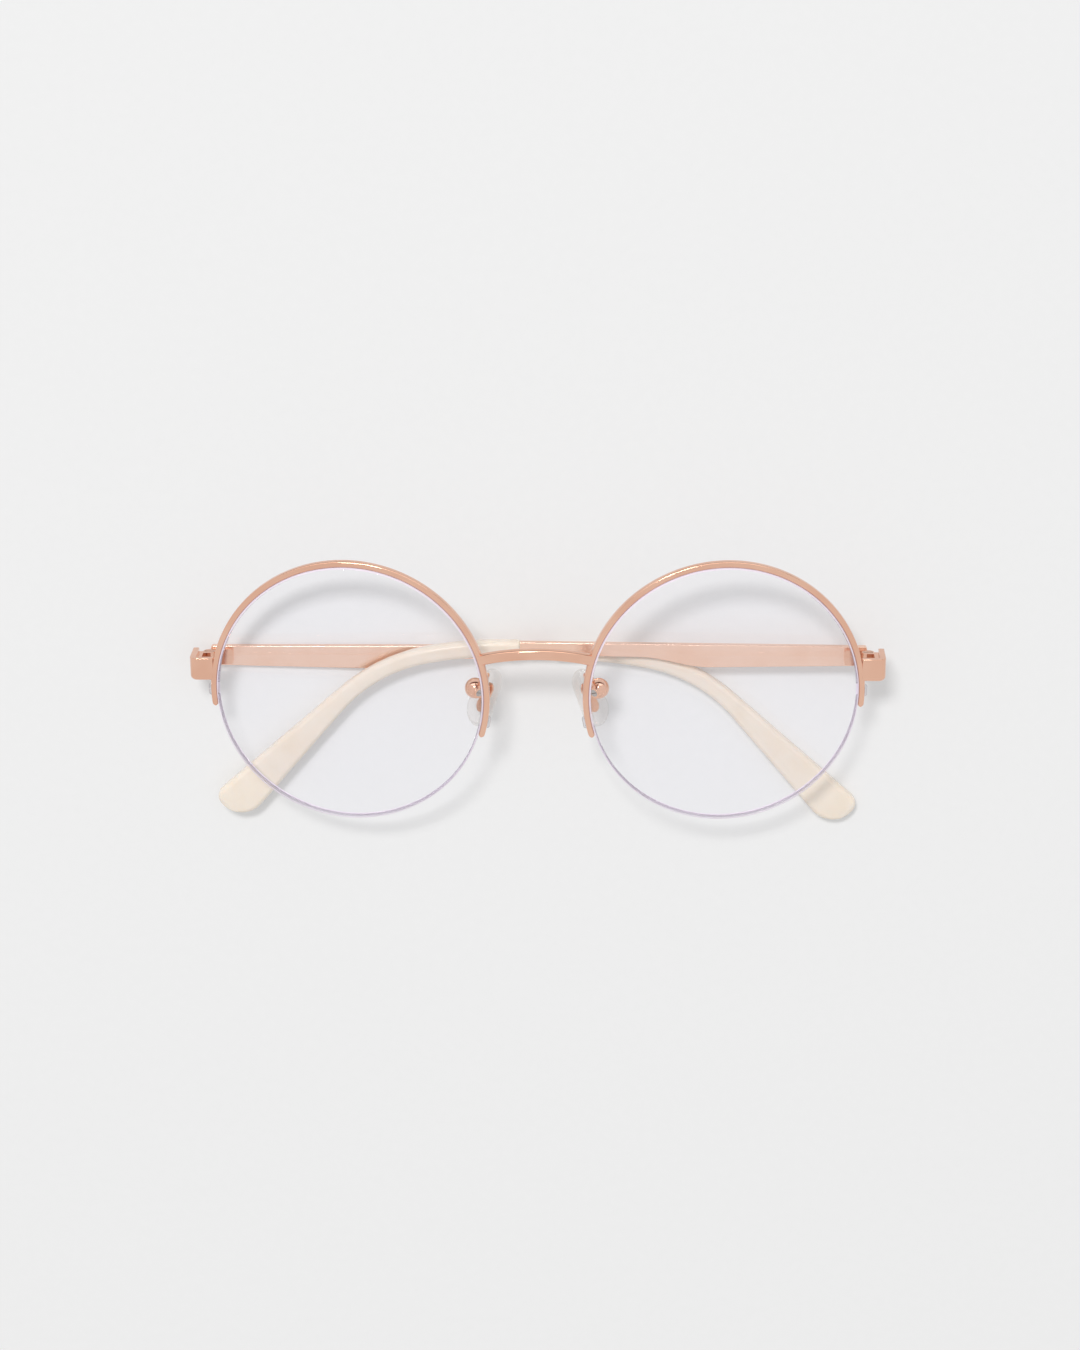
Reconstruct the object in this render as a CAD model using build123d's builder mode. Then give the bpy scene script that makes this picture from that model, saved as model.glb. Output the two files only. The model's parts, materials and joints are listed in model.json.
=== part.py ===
from build123d import *
from math import asin, cos, degrees, radians, sin, sqrt
import os

os.makedirs("parts", exist_ok=True)

# Half-rimmed round reading glasses, folded, lying front up on the outer side of the left temple.
# They are modelled as worn: +X to the right as seen from the front, +Y up, +Z forward out of the lenses.
# The last section folds the temples and lays everything on the table, where +Z is up.
# Left and right are as seen from the front. Each pair is modelled on the right and mirrored.

# Overall sizes
lens_diameter = 54.0
lens_gap = 21.0
endpiece_out = 5.4
wrap_angle = 5.0
front_tilt_angle = 2.6
hinge_height = 4.5

# Lens
lens_edge = 2.0
lens_front_radius = 110.0
lens_back_radius = 158.0
lens_chamfer = 0.25
groove_width = 0.6
groove_depth = 0.5

# Half rim, a channelled wire from the temporal end over the top to the nasal end
rim_wall = 1.2
rim_depth = 1.5
rim_round = 0.4
rim_fit = 0.05
channel_width = 0.7
channel_depth = 0.6
temporal_drop = 2.85
nasal_drop = 7.7

# Nylon cord under the lens and nylon liner in the channel
cord_diameter = 0.5
cord_bend = 0.34
cord_stand_off = 0.05
cord_end = 0.15
cord_lead = 0.9
nylon_seat = 0.05
hole_clearance = 0.05
hole_inset = 1.7
hole_pitch = 2.1
liner_width = 0.5
liner_end_gap = 0.6

# Bridge
bridge_height = 8.2
bridge_rise = 2.0
bridge_forward = 2.0
bridge_tall = 2.25
bridge_deep = 1.6
bridge_round = 0.55

# Endpiece, a strip bent back from the rim to the hinge
endpiece_tall = 4.8
endpiece_thickness = 1.2
endpiece_reach = 6.9
endpiece_bend = 1.5
endpiece_corner = 0.9
endpiece_edge = 0.2

# Hinge
pin_inset = 3.2
knuckle_radius = 1.2
knuckle_gap = 0.05
barrel_gap = 0.1
hinge_tall = 3.2
middle_knuckle = 1.05
leaf_thickness = 0.9
leaf_length = 4.6
leaf_corner = 0.5
screw_radius = 0.6
screw_seat = 0.01
screw_clearance = 0.03
head_radius = 0.9
head_depth = 0.45
screw_slot_width = 0.25
screw_slot_depth = 0.2

# Temple blade, with the core that the tip is pushed over
temple_thickness = 1.3
temple_gap = 0.1
blade_tall = 4.1
blade_widest = 4.85
blade_narrow = 2.8
widest_at = 32.0
narrow_at = 46.0
blade_length = 70.1
blade_corner = 0.4
core_tall = 1.5
core_thickness = 1.0
core_clearance = 0.03
core_run = 10.0

# Temple tip, an acetate sleeve that widens to a paddle
tip_tall = 3.3
tip_thickness = 3.0
tip_round = 1.1
tip_front_round = 1.3
tip_top_lead = 3.1
tip_top_ease = 79.0
tip_top_ease_angle = 10.9
tip_top_bend = 38.1
tip_top_angle = 31.2
tip_top_run = 35.6
tip_bottom_lead = 1.6
tip_bottom_ease = 84.0
tip_bottom_ease_angle = 11.7
tip_bottom_bend = 30.3
tip_bottom_angle = 38.9
tip_bottom_run = 32.4
paddle_high_round = 2.5
paddle_low_round = 5.3

# Pad holder
ball_radius = 2.1
ball_outset = 1.9
ball_height = 0.3
ball_back = 4.5
boss_flat = 0.2
boss_radius = 1.2
pad_slot_width = 1.3
pad_slot_floor = 1.2
pad_slot_top = 1.3
pad_screw_radius = 0.45
pad_screw_inset = 0.3
pad_head_radius = 0.8
pad_head_depth = 0.4
arm_radius = 0.55
arm_rise = 3.6
arm_lean = 0.3
arm_back = 2.7
arm_turn_inset = 1.8
arm_turn_rise = 2.3
arm_turn_back = 4.7
arm_bend = 1.2

# Nose pad
pad_splay_angle = 35.0
pad_flare_angle = 24.0
pad_lift = 2.75
pad_drop = 1.8
pad_thickness = 2.0
pad_length = 12.6
pad_low_radius = 3.8
pad_high_radius = 2.8
pad_dome_radius = 17.0
insert_thickness = 0.4
insert_depth = 0.5
insert_radius = 1.3
insert_spread = 4.0
lug_thickness = 1.1
lug_tall = 1.7
eye_radius = 0.95

# How far each temple is folded in from open, and how far its adjustment lifts it
fold_left_angle = 89.0
fold_right_angle = 91.2
lift_left_angle = -0.3
lift_right_angle = 1.1

# Places and sizes worked out from the values above
lens_radius = lens_diameter / 2
frame_width = lens_gap + 2 * (lens_diameter * cos(radians(wrap_angle)) + endpiece_out)
ball_across = lens_gap / 2 + ball_outset
arm_height = ball_height + arm_rise
arm_turn_across = ball_across - arm_turn_inset
arm_turn_height = ball_height + arm_turn_rise
rim_inner = lens_radius + rim_fit
rim_middle = rim_inner + rim_wall / 2
rim_outer = rim_inner + rim_wall
temporal_angle = -degrees(asin(temporal_drop / rim_middle))
nasal_angle = 180 + degrees(asin(nasal_drop / rim_middle))
hole_radius = cord_diameter / 2 + hole_clearance
cord_radius = lens_radius - groove_depth + nylon_seat + cord_diameter / 2
cord_outside = rim_outer + cord_stand_off + cord_diameter / 2
pin_across = frame_width / 2 - pin_inset
arm_seat = pin_inset - endpiece_thickness
blade_seat = pin_inset - temple_thickness
blade_top = blade_tall / 2
blade_centre = blade_top - blade_narrow / 2
tip_proud = (tip_thickness - temple_thickness) / 2

forward_tilt = (0, -sin(radians(front_tilt_angle)), cos(radians(front_tilt_angle)))
front_plane = Plane((0, 0, 0), x_dir=(1, 0, 0), z_dir=forward_tilt)
lens_across = lens_gap / 2 + lens_radius * cos(radians(wrap_angle))
lens_set_back = lens_radius * sin(radians(wrap_angle))
lens_plane = Plane(front_plane.location * Location((lens_across, 0, -lens_set_back), (0, wrap_angle, 0)))
lens_axis = Axis(lens_plane.origin, lens_plane.z_dir)
endpiece_front = lens_plane.from_local_coords((rim_middle, hinge_height, rim_depth / 2)).Z
pin_z = endpiece_front - endpiece_reach
hinge_plane = Plane((0, hinge_height, 0), x_dir=(1, 0, 0), z_dir=(0, -1, 0))
pin_place = Location((pin_across, hinge_height, pin_z), (-90, 0, 0))
pin_top = pin_place * Location((0, 0, hinge_tall / 2))

pad_front = (
    -sin(radians(pad_splay_angle)) * cos(radians(pad_flare_angle)),
    -sin(radians(pad_splay_angle)) * sin(radians(pad_flare_angle)),
    cos(radians(pad_splay_angle)),
)
pad_face = (
    -cos(radians(pad_splay_angle)) * cos(radians(pad_flare_angle)),
    -cos(radians(pad_splay_angle)) * sin(radians(pad_flare_angle)),
    -sin(radians(pad_splay_angle)),
)
ball_centre = (ball_across, ball_height, -ball_back)
pad_plane = Plane(front_plane.location * Plane(ball_centre, x_dir=pad_front, z_dir=pad_face).location)
boss_top = ball_radius - boss_flat
boss_place = Location((boss_top, 0, 0), (0, 90, 0))
sideways = Location((0, 0, 0), (0, 90, 0))


def section_at(angle):
    """The plane through the lens axis at this angle round the lens, with its X along the radius."""
    return Plane(lens_plane.location * Location((0, 0, 0), (0, 0, angle)) * Location((0, 0, 0), (90, 0, 0)))


def angle_along(length):
    """The angle that a length along the rim takes."""
    return degrees(length / rim_middle)


def round_spot(radius, angle):
    """A point in the lens plane, from its radius and its angle round the lens."""
    return (radius * cos(radians(angle)), radius * sin(radians(angle)))


def nasal_side(height):
    """Where the middle of the rim's wire is at this height, towards the nose, in the lens plane."""
    return (-sqrt(rim_middle**2 - height**2), height, 0)


def sag(sphere_radius, radius):
    """How deep a spherical cap of this radius is."""
    return sphere_radius - sqrt(sphere_radius**2 - radius**2)


def largest(part):
    """The largest solid of a part, without the slivers that a cut leaves."""
    return Part(part.solids().sort_by(SortBy.VOLUME)[-1].wrapped)


outer_temporal = temporal_angle + angle_along(hole_inset)
inner_temporal = outer_temporal + angle_along(hole_pitch)
outer_nasal = nasal_angle - angle_along(hole_inset)
inner_nasal = outer_nasal - angle_along(hole_pitch)


# Lens
def make_lens():
    """A meniscus lens with a chamfered edge and a groove all round it."""
    half_edge = lens_edge / 2
    half_way = lens_radius / 2
    face_radius = lens_radius - lens_chamfer
    front_top = half_edge + sag(lens_front_radius, face_radius)
    back_top = sag(lens_back_radius, face_radius) - half_edge
    with BuildPart() as lens:
        with BuildSketch(section_at(0)):
            with BuildLine():
                back = ThreePointArc(
                    (0, back_top),
                    (half_way, back_top - sag(lens_back_radius, half_way)),
                    (face_radius, -half_edge),
                )
                edge = Polyline(
                    back @ 1,
                    (lens_radius, lens_chamfer - half_edge),
                    (lens_radius, half_edge - lens_chamfer),
                    (face_radius, half_edge),
                )
                front = ThreePointArc(
                    edge @ 1,
                    (half_way, front_top - sag(lens_front_radius, half_way)),
                    (0, front_top),
                )
                Line(front @ 1, back @ 0)
            make_face()
            with Locations((lens_radius, 0)):
                Rectangle(2 * groove_depth, groove_width, mode=Mode.SUBTRACT)
        revolve(axis=lens_axis)
    return lens


# Half rim
def make_rim():
    """The channelled half rim with rounded ends and two cord holes near each end."""
    with BuildPart() as rim:
        with BuildSketch(section_at(temporal_angle)):
            with Locations((rim_middle, 0)):
                wire = Rectangle(rim_wall, rim_depth)
            fillet(wire.vertices().group_by(Axis.X)[-1], rim_round)
            with Locations((rim_inner, 0)):
                Rectangle(2 * channel_depth, channel_width, mode=Mode.SUBTRACT)
        revolve(axis=lens_axis, revolution_arc=nasal_angle - temporal_angle)
        for end_angle, turn in ((temporal_angle, -180), (nasal_angle, 180)):
            with BuildSketch(section_at(end_angle)):
                with Locations((rim_middle, 0)):
                    half = Rectangle(rim_wall / 2, rim_depth, align=(Align.MIN, Align.CENTER))
                fillet(half.vertices().group_by(Axis.X)[-1], rim_round)
            end_middle = section_at(end_angle).from_local_coords((rim_middle, 0, 0))
            revolve(axis=Axis(end_middle, lens_plane.z_dir), revolution_arc=turn)
        for angle in (outer_temporal, inner_temporal, inner_nasal, outer_nasal):
            turned = lens_plane.location * Location((0, 0, 0), (0, 0, angle))
            with Locations(turned * Location((rim_middle, 0, 0), (0, 90, 0))):
                Cylinder(hole_radius, 2 * rim_wall, mode=Mode.SUBTRACT)
    return rim


# Nylon cord and liner
def make_lower_cord():
    """The nylon cord under the lens, threaded out and back in through the holes at both rim ends."""
    lead = angle_along(cord_lead)
    corner_radius = cord_radius / cos(radians(lead))
    inner_end = rim_inner + cord_end
    start = outer_nasal + lead
    finish = outer_temporal + 360 - lead
    with BuildPart() as cord:
        with BuildLine(lens_plane):
            nasal_loop = FilletPolyline(
                round_spot(inner_end, inner_nasal),
                round_spot(cord_outside, inner_nasal),
                round_spot(cord_outside, outer_nasal),
                round_spot(corner_radius, outer_nasal),
                round_spot(cord_radius, start),
                radius=cord_bend,
            )
            CenterArc((0, 0), cord_radius, start, finish - start)
            FilletPolyline(
                round_spot(cord_radius, finish),
                round_spot(corner_radius, outer_temporal),
                round_spot(cord_outside, outer_temporal),
                round_spot(cord_outside, inner_temporal),
                round_spot(inner_end, inner_temporal),
                radius=cord_bend,
            )
        with BuildSketch(Plane(nasal_loop @ 0, z_dir=nasal_loop % 0)):
            Circle(cord_diameter / 2)
        sweep()
    return cord


def make_rim_liner():
    """The nylon strip that keys the lens groove to the channel of the half rim."""
    inside = lens_radius - groove_depth + nylon_seat
    outside = rim_inner + channel_depth - nylon_seat
    start = inner_temporal + angle_along(liner_end_gap)
    finish = inner_nasal - angle_along(liner_end_gap)
    with BuildPart() as liner:
        with BuildSketch(section_at(start)):
            with Locations(((inside + outside) / 2, 0)):
                Rectangle(outside - inside, liner_width)
        revolve(axis=lens_axis, revolution_arc=finish - start)
    return liner


# Bridge
def make_bridge(rims):
    """The arched bar soldered between the two rims."""
    reach = front_plane.to_local_coords(lens_plane.from_local_coords(nasal_side(bridge_height))).X
    with BuildPart() as bridge:
        with BuildLine(front_plane):
            bow = ThreePointArc(
                (-reach, bridge_height, 0),
                (0, bridge_height + bridge_rise, bridge_forward),
                (reach, bridge_height, 0),
            )
        with BuildSketch(Plane(bow @ 0, x_dir=(bow % 0).cross(front_plane.z_dir), z_dir=bow % 0)):
            RectangleRounded(bridge_tall, bridge_deep, bridge_round)
        sweep()
        for rim in rims:
            add(rim, mode=Mode.SUBTRACT)
    bridge.part = largest(bridge.part)
    return bridge


# Endpiece
def make_endpiece(rim):
    """The strip that runs out from the rim, bends back and carries the hinge."""
    rim_side = lens_plane.from_local_coords((rim_middle, hinge_height, 0)).X
    middle_x = frame_width / 2 - endpiece_thickness / 2
    middle_z = endpiece_front - endpiece_thickness / 2
    with BuildPart() as endpiece:
        with BuildLine(hinge_plane):
            strip = FilletPolyline(
                (rim_side, middle_z),
                (middle_x, middle_z),
                (middle_x, pin_z),
                radius=endpiece_bend - endpiece_thickness / 2,
            )
        with BuildSketch(Plane(strip @ 0, x_dir=(0, 0, 1), z_dir=strip % 0)):
            section = Rectangle(endpiece_thickness, endpiece_tall)
            fillet(section.vertices().group_by(Axis.X)[-1].sort_by(Axis.Y)[-1], endpiece_corner)
        sweep()
        fillet(endpiece.edges().group_by(Axis.Y)[-1], endpiece_edge)
        add(rim, mode=Mode.SUBTRACT)
    endpiece.part = largest(endpiece.part)
    return endpiece


# Hinge
def make_hinge_leaf(way, seat, own_levels, free_levels, bore):
    """A leaf that lies against the arm or the blade, with its knuckles round the pin.

    The way is 1 for the leaf in front of the pin and -1 for the leaf behind it."""
    far_end = leaf_length * way
    near_end = temple_gap * way
    web_middle = (temple_gap + knuckle_radius) / 2 * way
    with BuildPart() as leaf:
        with BuildSketch(hinge_plane):
            with Locations((pin_across + seat - leaf_thickness / 2, pin_z + (near_end + far_end) / 2)):
                Rectangle(leaf_thickness, leaf_length - temple_gap)
        extrude(amount=hinge_tall / 2, both=True)
        fillet(leaf.edges().filter_by(Axis.X).sort_by(Axis.Z, reverse=way > 0)[0:2], leaf_corner)
        for low, high in free_levels:
            with BuildSketch(hinge_plane.offset(-high)):
                with Locations((pin_across, pin_z)):
                    Circle(knuckle_radius + barrel_gap)
            extrude(amount=high - low, mode=Mode.SUBTRACT)
        for low, high in own_levels:
            with BuildSketch(hinge_plane.offset(-high)):
                with Locations((pin_across, pin_z)):
                    Circle(knuckle_radius)
                with Locations((pin_across + seat / 2, pin_z + web_middle)):
                    Rectangle(seat, knuckle_radius - temple_gap)
            extrude(amount=high - low)
        with Locations(pin_place):
            Cylinder(bore, 2 * hinge_tall, mode=Mode.SUBTRACT)
    return leaf


def make_front_hinge():
    """The front leaf, with the top and bottom knuckles and a counterbore for the screw head."""
    inner = middle_knuckle / 2 + knuckle_gap
    outer = hinge_tall / 2
    bore = screw_radius + screw_seat
    leaf = make_hinge_leaf(1, arm_seat, [(-outer, -inner), (inner, outer)], [(-inner, inner)], bore)
    with BuildPart() as hinge:
        add(leaf.part)
        with Locations(pin_top):
            Cylinder(head_radius + screw_clearance, 2 * head_depth, mode=Mode.SUBTRACT)
    return hinge


def make_temple_hinge():
    """The temple leaf, with the middle knuckle."""
    inner = middle_knuckle / 2
    outer = hinge_tall / 2
    bore = screw_radius + screw_clearance
    return make_hinge_leaf(-1, blade_seat, [(-inner, inner)], [(-outer, -inner), (inner, outer)], bore)


def make_hinge_screw():
    """The slotted screw that is the hinge pin."""
    with BuildPart() as screw:
        with Locations(pin_place):
            Cylinder(screw_radius, hinge_tall)
        with Locations(pin_top):
            Cylinder(head_radius, head_depth, align=(Align.CENTER, Align.CENTER, Align.MAX))
            Box(2 * head_radius, screw_slot_width, 2 * screw_slot_depth, mode=Mode.SUBTRACT)
    return screw


# Temple
def side_plane(inset, lift):
    """The side view of the lifted temple, with X from the pin to the tip, this far in from the outer face."""
    upright = Plane((frame_width / 2 - inset, hinge_height, pin_z), x_dir=(0, 0, -1), z_dir=(1, 0, 0))
    return Plane(upright.location * Location((0, 0, 0), (0, 0, lift)))


def make_core(lift, clearance):
    """The flat core that runs on from the blade along the tip's top edge, grown all round by a clearance."""
    half = core_thickness / 2 + clearance
    with BuildPart() as core:
        with BuildSketch(side_plane(temple_thickness / 2, lift)):
            with BuildLine():
                lead = Line((blade_length, blade_centre), (blade_length + tip_top_lead, blade_centre))
                ease = JernArc(lead @ 1, lead % 1, tip_top_ease - tip_tall / 2, -tip_top_ease_angle)
                bend = JernArc(ease @ 1, ease % 1, tip_top_bend - tip_tall / 2, -tip_top_angle)
                Line(bend @ 1, bend @ 1 + (core_run + clearance) * (bend % 1))
            trace(line_width=core_tall + 2 * clearance)
        extrude(amount=half, both=True)
    return core


def make_temple(lift):
    """The flat blade, widest before its middle, narrow behind, with the core of the tip."""
    swell = (narrow_at - widest_at) / 2
    low_edge = blade_top - blade_narrow
    lowest = blade_top - blade_widest
    with BuildPart() as temple:
        with BuildSketch(side_plane(temple_thickness, lift)):
            with BuildLine():
                Polyline(
                    (narrow_at, low_edge),
                    (blade_length, low_edge),
                    (blade_length, blade_top),
                    (temple_gap, blade_top),
                    (temple_gap, blade_top - blade_tall),
                    (widest_at, lowest),
                )
                Bezier(
                    (widest_at, lowest),
                    (widest_at + swell, lowest),
                    (narrow_at - swell, low_edge),
                    (narrow_at, low_edge),
                )
            outline = make_face()
            fillet(outline.vertices().group_by(Axis.X)[0], blade_corner)
        extrude(amount=temple_thickness)
        add(make_core(lift, 0).part)
    return temple


def make_temple_tip(lift):
    """The acetate tip: straight, bent down and widened to a rounded paddle, with the hole for the core."""
    top = blade_centre + tip_tall / 2
    bottom = blade_centre - tip_tall / 2
    with BuildPart() as tip:
        with BuildSketch(side_plane(-tip_proud, lift)) as outline:
            with BuildLine():
                front = Line((blade_length, bottom), (blade_length, top))
                upper = Line(front @ 1, (blade_length + tip_top_lead, top))
                upper_ease = JernArc(upper @ 1, upper % 1, tip_top_ease, -tip_top_ease_angle)
                upper_bend = JernArc(upper_ease @ 1, upper_ease % 1, tip_top_bend, -tip_top_angle)
                upper_run = Line(upper_bend @ 1, upper_bend @ 1 + tip_top_run * (upper_bend % 1))
                lower = Line(front @ 0, (blade_length + tip_bottom_lead, bottom))
                lower_ease = JernArc(lower @ 1, lower % 1, tip_bottom_ease, -tip_bottom_ease_angle)
                lower_bend = JernArc(lower_ease @ 1, lower_ease % 1, tip_bottom_bend, -tip_bottom_angle)
                lower_run = Line(lower_bend @ 1, lower_bend @ 1 + tip_bottom_run * (lower_bend % 1))
                Line(upper_run @ 1, lower_run @ 1)
            make_face()
            fillet(outline.vertices().group_by(Axis.X)[0], tip_front_round)
            fillet(outline.vertices().sort_by(Axis.X)[-1], paddle_high_round)
            fillet(outline.vertices().sort_by(Axis.Y)[0], paddle_low_round)
        extrude(amount=-tip_thickness)
        fillet(tip.edges().filter_by(Axis.X, reverse=True), tip_round)
        add(make_core(lift, core_clearance).part, mode=Mode.SUBTRACT)
    return tip


# Pad holder
def make_pad_arm(rim):
    """The wire from the back of the rim to the ball of the pad holder."""
    start = front_plane.to_local_coords(lens_plane.from_local_coords(nasal_side(arm_height)))
    with BuildPart() as arm:
        with BuildLine(front_plane):
            wire = FilletPolyline(
                (start.X, arm_height, start.Z),
                (start.X - arm_lean, arm_height, -arm_back),
                (arm_turn_across, arm_turn_height, -arm_turn_back),
                ball_centre,
                radius=arm_bend,
            )
        with BuildSketch(Plane(wire @ 0, z_dir=wire % 0)):
            Circle(arm_radius)
        sweep()
        with Locations(pad_plane.location):
            Sphere(ball_radius, mode=Mode.SUBTRACT)
        add(rim, mode=Mode.SUBTRACT)
    arm.part = largest(arm.part)
    return arm


def make_pad_box():
    """The ball that carries the pad, with a slot for the pad's lug and a flat boss round the screw."""
    slot_align = (Align.CENTER, Align.MAX, Align.MIN)
    with BuildPart(pad_plane) as box:
        with Locations(sideways):
            Sphere(ball_radius)
        with Locations((0, pad_slot_top, -pad_slot_floor)):
            Box(pad_slot_width, 2 * ball_radius, 2 * ball_radius, align=slot_align, mode=Mode.SUBTRACT)
        with Locations(boss_place):
            Cylinder(boss_radius, boss_top - pad_slot_width / 2, align=(Align.CENTER, Align.CENTER, Align.MAX))
            Cylinder(ball_radius, boss_flat, align=(Align.CENTER, Align.CENTER, Align.MIN), mode=Mode.SUBTRACT)
            Cylinder(pad_head_radius + screw_seat, 2 * pad_head_depth, mode=Mode.SUBTRACT)
        with Locations(sideways):
            Cylinder(pad_screw_radius + screw_seat, 2 * ball_radius, mode=Mode.SUBTRACT)
    return box


def make_pad_screw():
    """The slotted screw through the ball that the pad rocks on."""
    length = boss_top + ball_radius - pad_screw_inset
    with BuildPart(pad_plane) as screw:
        with Locations(boss_place):
            Cylinder(pad_screw_radius, length, align=(Align.CENTER, Align.CENTER, Align.MAX))
            Cylinder(pad_head_radius, pad_head_depth, align=(Align.CENTER, Align.CENTER, Align.MAX))
            Box(2 * pad_head_radius, screw_slot_width, 2 * screw_slot_depth, mode=Mode.SUBTRACT)
    return screw


def make_pad_insert():
    """The metal core of the pad: a plate inside the silicone and a lug with an eye on the screw."""
    plate_height = pad_lift + insert_depth
    with BuildPart(pad_plane) as insert:
        with Locations(sideways):
            Cylinder(eye_radius, lug_thickness)
        Box(lug_thickness, lug_tall, plate_height, align=(Align.CENTER, Align.CENTER, Align.MIN))
        with Locations(sideways):
            Cylinder(pad_screw_radius + screw_clearance, 2 * lug_thickness, mode=Mode.SUBTRACT)
        with BuildSketch(pad_plane.offset(plate_height)):
            with Locations((0, -pad_drop)):
                SlotCenterToCenter(insert_spread, 2 * insert_radius, rotation=90)
        extrude(amount=insert_thickness)
    return insert


def make_nose_pad(insert):
    """The clear silicone pad: a domed drop shape moulded round its metal core."""
    low = pad_low_radius - pad_length / 2 - pad_drop
    high = pad_length / 2 - pad_high_radius - pad_drop
    dome_centre = Location((0, -pad_drop, pad_lift + pad_thickness - pad_dome_radius))
    with BuildPart() as pad:
        with BuildSketch(pad_plane.offset(pad_lift)):
            with Locations((0, low)):
                Circle(pad_low_radius)
            with Locations((0, high)):
                Circle(pad_high_radius)
            make_hull()
        extrude(amount=pad_thickness)
        with Locations(pad_plane.location * dome_centre):
            Sphere(pad_dome_radius, mode=Mode.INTERSECT)
        add(insert, mode=Mode.SUBTRACT)
    return pad


# Both sides, as worn
def make_side(lift):
    """All pieces of the right side as worn, by name: those of the front, and those that fold."""
    rim = make_rim()
    insert = make_pad_insert()
    front = {
        "lens": make_lens(),
        "rim": rim,
        "rim_liner": make_rim_liner(),
        "lower_cord": make_lower_cord(),
        "endpiece": make_endpiece(rim.part),
        "front_hinge": make_front_hinge(),
        "hinge_screw": make_hinge_screw(),
        "pad_arm": make_pad_arm(rim.part),
        "pad_box": make_pad_box(),
        "pad_screw": make_pad_screw(),
        "nose_pad": make_nose_pad(insert.part),
        "pad_insert": insert,
    }
    folding = {
        "temple": make_temple(lift),
        "temple_tip": make_temple_tip(lift),
        "temple_hinge": make_temple_hinge(),
    }
    return front, folding


def turned_at(across, angle):
    """A turn about the hinge pin at this place across."""
    return Location((across, 0, pin_z)) * Location((0, 0, 0), (0, angle, 0)) * Location((-across, 0, -pin_z))


right_front, right_folding = make_side(lift_right_angle)
left_front, left_folding = make_side(lift_left_angle)
for piece in list(left_front.values()) + list(left_folding.values()):
    piece.part = piece.part.mirror(Plane.YZ)
bridge = make_bridge([right_front["rim"].part, left_front["rim"].part])

# Folded, the left temple first and the right temple over it
for piece in left_folding.values():
    piece.part = turned_at(-pin_across, -fold_left_angle) * piece.part
for piece in right_folding.values():
    piece.part = turned_at(pin_across, fold_right_angle) * piece.part

# On the table, which touches the left blade at its hinge end and the left tip at both ends
blade_side = left_folding["temple"].part.faces().sort_by(SortBy.AREA)[-2:].sort_by(Axis.Z)[0]
tip_side = left_folding["temple_tip"].part.faces().sort_by(SortBy.AREA)[-2:].sort_by(Axis.Z)[0]
hinge_end = Vector(blade_side.vertices().sort_by(Axis.X)[0:2].sort_by(Axis.Y)[0])
tip_start = Vector(tip_side.vertices().sort_by(Axis.X)[0:2].sort_by(Axis.Y)[0])
tip_end = Vector(tip_side.vertices().sort_by(Axis.Y)[0])
table_up = (tip_end - hinge_end).cross(tip_start - hinge_end).normalized()
table_across = Vector(0, 1, 0).cross(table_up)
on_table = Plane(hinge_end, x_dir=table_across, z_dir=table_up).location.inverse()

pieces = {"bridge": bridge}
for side, front, folding in (("right", right_front, right_folding), ("left", left_front, left_folding)):
    for name, piece in (front | folding).items():
        pieces[f"{name}_{side}"] = piece
for piece in pieces.values():
    piece.part = on_table * piece.part
room = bridge.part.bounding_box()
for piece in pieces.values():
    room = room.add(piece.part.bounding_box())
to_origin = Location((-room.center().X, -room.center().Y, -room.min.Z))
placed = to_origin * on_table

for name, piece in pieces.items():
    piece.part = to_origin * piece.part
    piece.part.label = name
    export_step(piece.part, f"parts/{name}.step")

print("size", room.size)
for across in (pin_across, -pin_across):
    print("hinge pin", (placed * Location((across, hinge_height, pin_z))).position)
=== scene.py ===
import json
from math import atan2, cos, hypot, pi, radians, sin, sqrt, tan

import bmesh
import bpy
from mathutils import Matrix, Vector


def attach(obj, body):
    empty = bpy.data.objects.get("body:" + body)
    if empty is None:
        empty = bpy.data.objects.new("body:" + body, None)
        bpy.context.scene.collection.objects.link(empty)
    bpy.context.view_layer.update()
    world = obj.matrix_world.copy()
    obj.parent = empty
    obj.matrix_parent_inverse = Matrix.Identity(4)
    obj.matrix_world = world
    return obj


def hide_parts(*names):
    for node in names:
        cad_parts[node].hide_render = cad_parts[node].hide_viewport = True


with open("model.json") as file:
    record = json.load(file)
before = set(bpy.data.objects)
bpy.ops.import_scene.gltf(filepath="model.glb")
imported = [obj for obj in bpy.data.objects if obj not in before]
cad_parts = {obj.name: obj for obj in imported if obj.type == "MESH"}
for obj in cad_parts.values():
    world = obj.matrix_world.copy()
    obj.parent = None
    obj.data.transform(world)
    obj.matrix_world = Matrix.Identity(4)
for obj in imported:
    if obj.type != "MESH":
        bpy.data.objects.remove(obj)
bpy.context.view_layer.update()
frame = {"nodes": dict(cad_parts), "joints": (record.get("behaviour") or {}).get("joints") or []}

bl_info = {
    "name": "Half-rimmed reading glasses",
    "version": (1, 0, 0),
    "blender": (4, 5, 0),
    "location": "3D View > Sidebar > Glasses",
    "description": "Dresses folded half-rimmed glasses and lays them on a pale table",
    "category": "Add Mesh",
}

MM = 0.001
TINY = 0.01 * MM  # how near to an edge or a plane counts as lying on it
SAME = 0.001 * MM  # vertices nearer than this are merged
SIDES = ("right", "left")
UPRIGHT = Matrix(((0, 0, 1), (1, 0, 0), (0, 1, 0))).to_4x4()  # turns a section to face along X
nodes = frame["nodes"]
joints = {joint["name"]: joint for joint in frame["joints"]}


# Settings
def length(name, description, millimetres):
    """A length setting. It is given in millimetres and kept in metres."""
    return bpy.props.FloatProperty(
        name=name, description=description, default=millimetres * MM, unit="LENGTH", precision=5
    )


def turn(name, description, degrees):
    """An angle setting, given in degrees."""
    return bpy.props.FloatProperty(
        name=name, description=description, default=radians(degrees), subtype="ANGLE"
    )


def number(name, description, default):
    """A plain number, such as a strength or a share."""
    return bpy.props.FloatProperty(name=name, description=description, default=default)


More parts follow.
